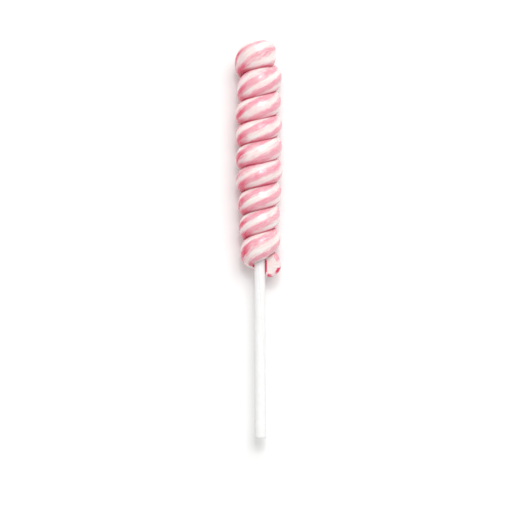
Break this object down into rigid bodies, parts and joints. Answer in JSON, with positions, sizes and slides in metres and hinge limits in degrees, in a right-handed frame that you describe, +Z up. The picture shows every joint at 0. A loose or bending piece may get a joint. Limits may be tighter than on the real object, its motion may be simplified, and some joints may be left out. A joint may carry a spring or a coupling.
{
  "type": "swirl lollipop",
  "caption": "Long swirl lollipop: a rope of glossy pink and white striped hard candy wound round a white rolled-paper stick, lying on its side.",
  "frame": {"origin": "centre of the bounding box, on the surface the lollipop lies on", "axes": "+Y runs along the stick from its free end to the candy's crown, +Z is up, out of the side that is shown, +X completes the frame"},
  "size_m": [0.0175, 0.146, 0.017],
  "materials": {
    "striped_sugar": "glossy boiled sugar, creamy white with soft-edged pink stripes that spiral round the rope, deeper pink towards the grooves",
    "rolled_paper": "matte white rolled paper with a faint spiral seam"
  },
  "bodies": {
    "root": {"candy": "striped_sugar", "stick": "rolled_paper"}
  },
  "joints": []
}
